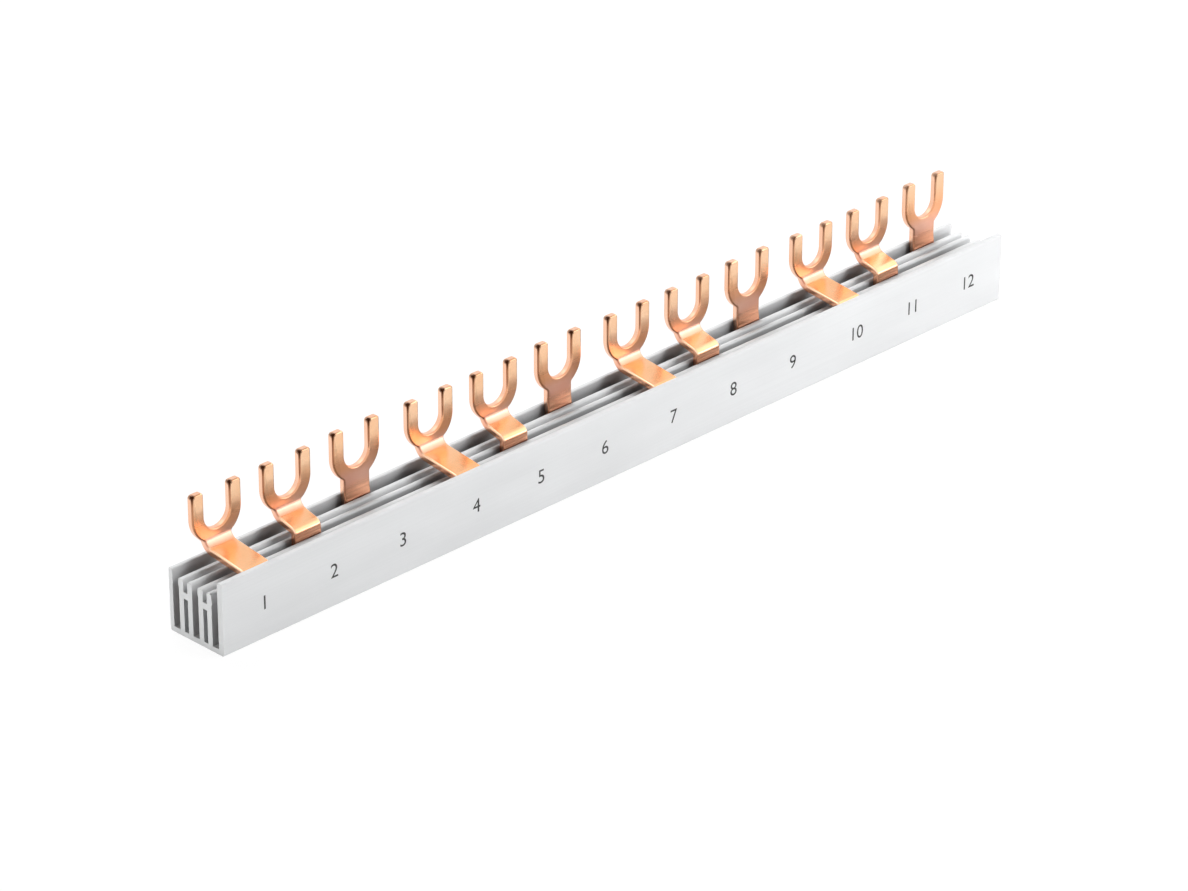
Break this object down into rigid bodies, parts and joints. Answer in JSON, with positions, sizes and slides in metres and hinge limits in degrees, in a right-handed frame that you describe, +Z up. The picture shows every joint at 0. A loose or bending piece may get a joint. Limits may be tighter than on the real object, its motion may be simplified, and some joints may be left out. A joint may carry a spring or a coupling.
{
  "type": "comb busbar",
  "caption": "Comb busbar: a long grey housing, open at the top and ends, holds copper combs whose forks stand in one row above its back wall.",
  "frame": {"origin": "middle of the housing's flat underside", "axes": "+X along the housing, seen from the front to the right; +Y from the front face to the back; +Z up towards the fork tips"},
  "size_m": [0.215, 0.0146, 0.0268],
  "materials": {
    "housing_plastic": "satin light grey rigid PVC",
    "copper": "bright bare copper, soft edges"
  },
  "bodies": {
    "root": {"housing": "housing_plastic", "comb_front": "copper", "comb_middle": "copper", "comb_rear": "copper"}
  },
  "joints": []
}
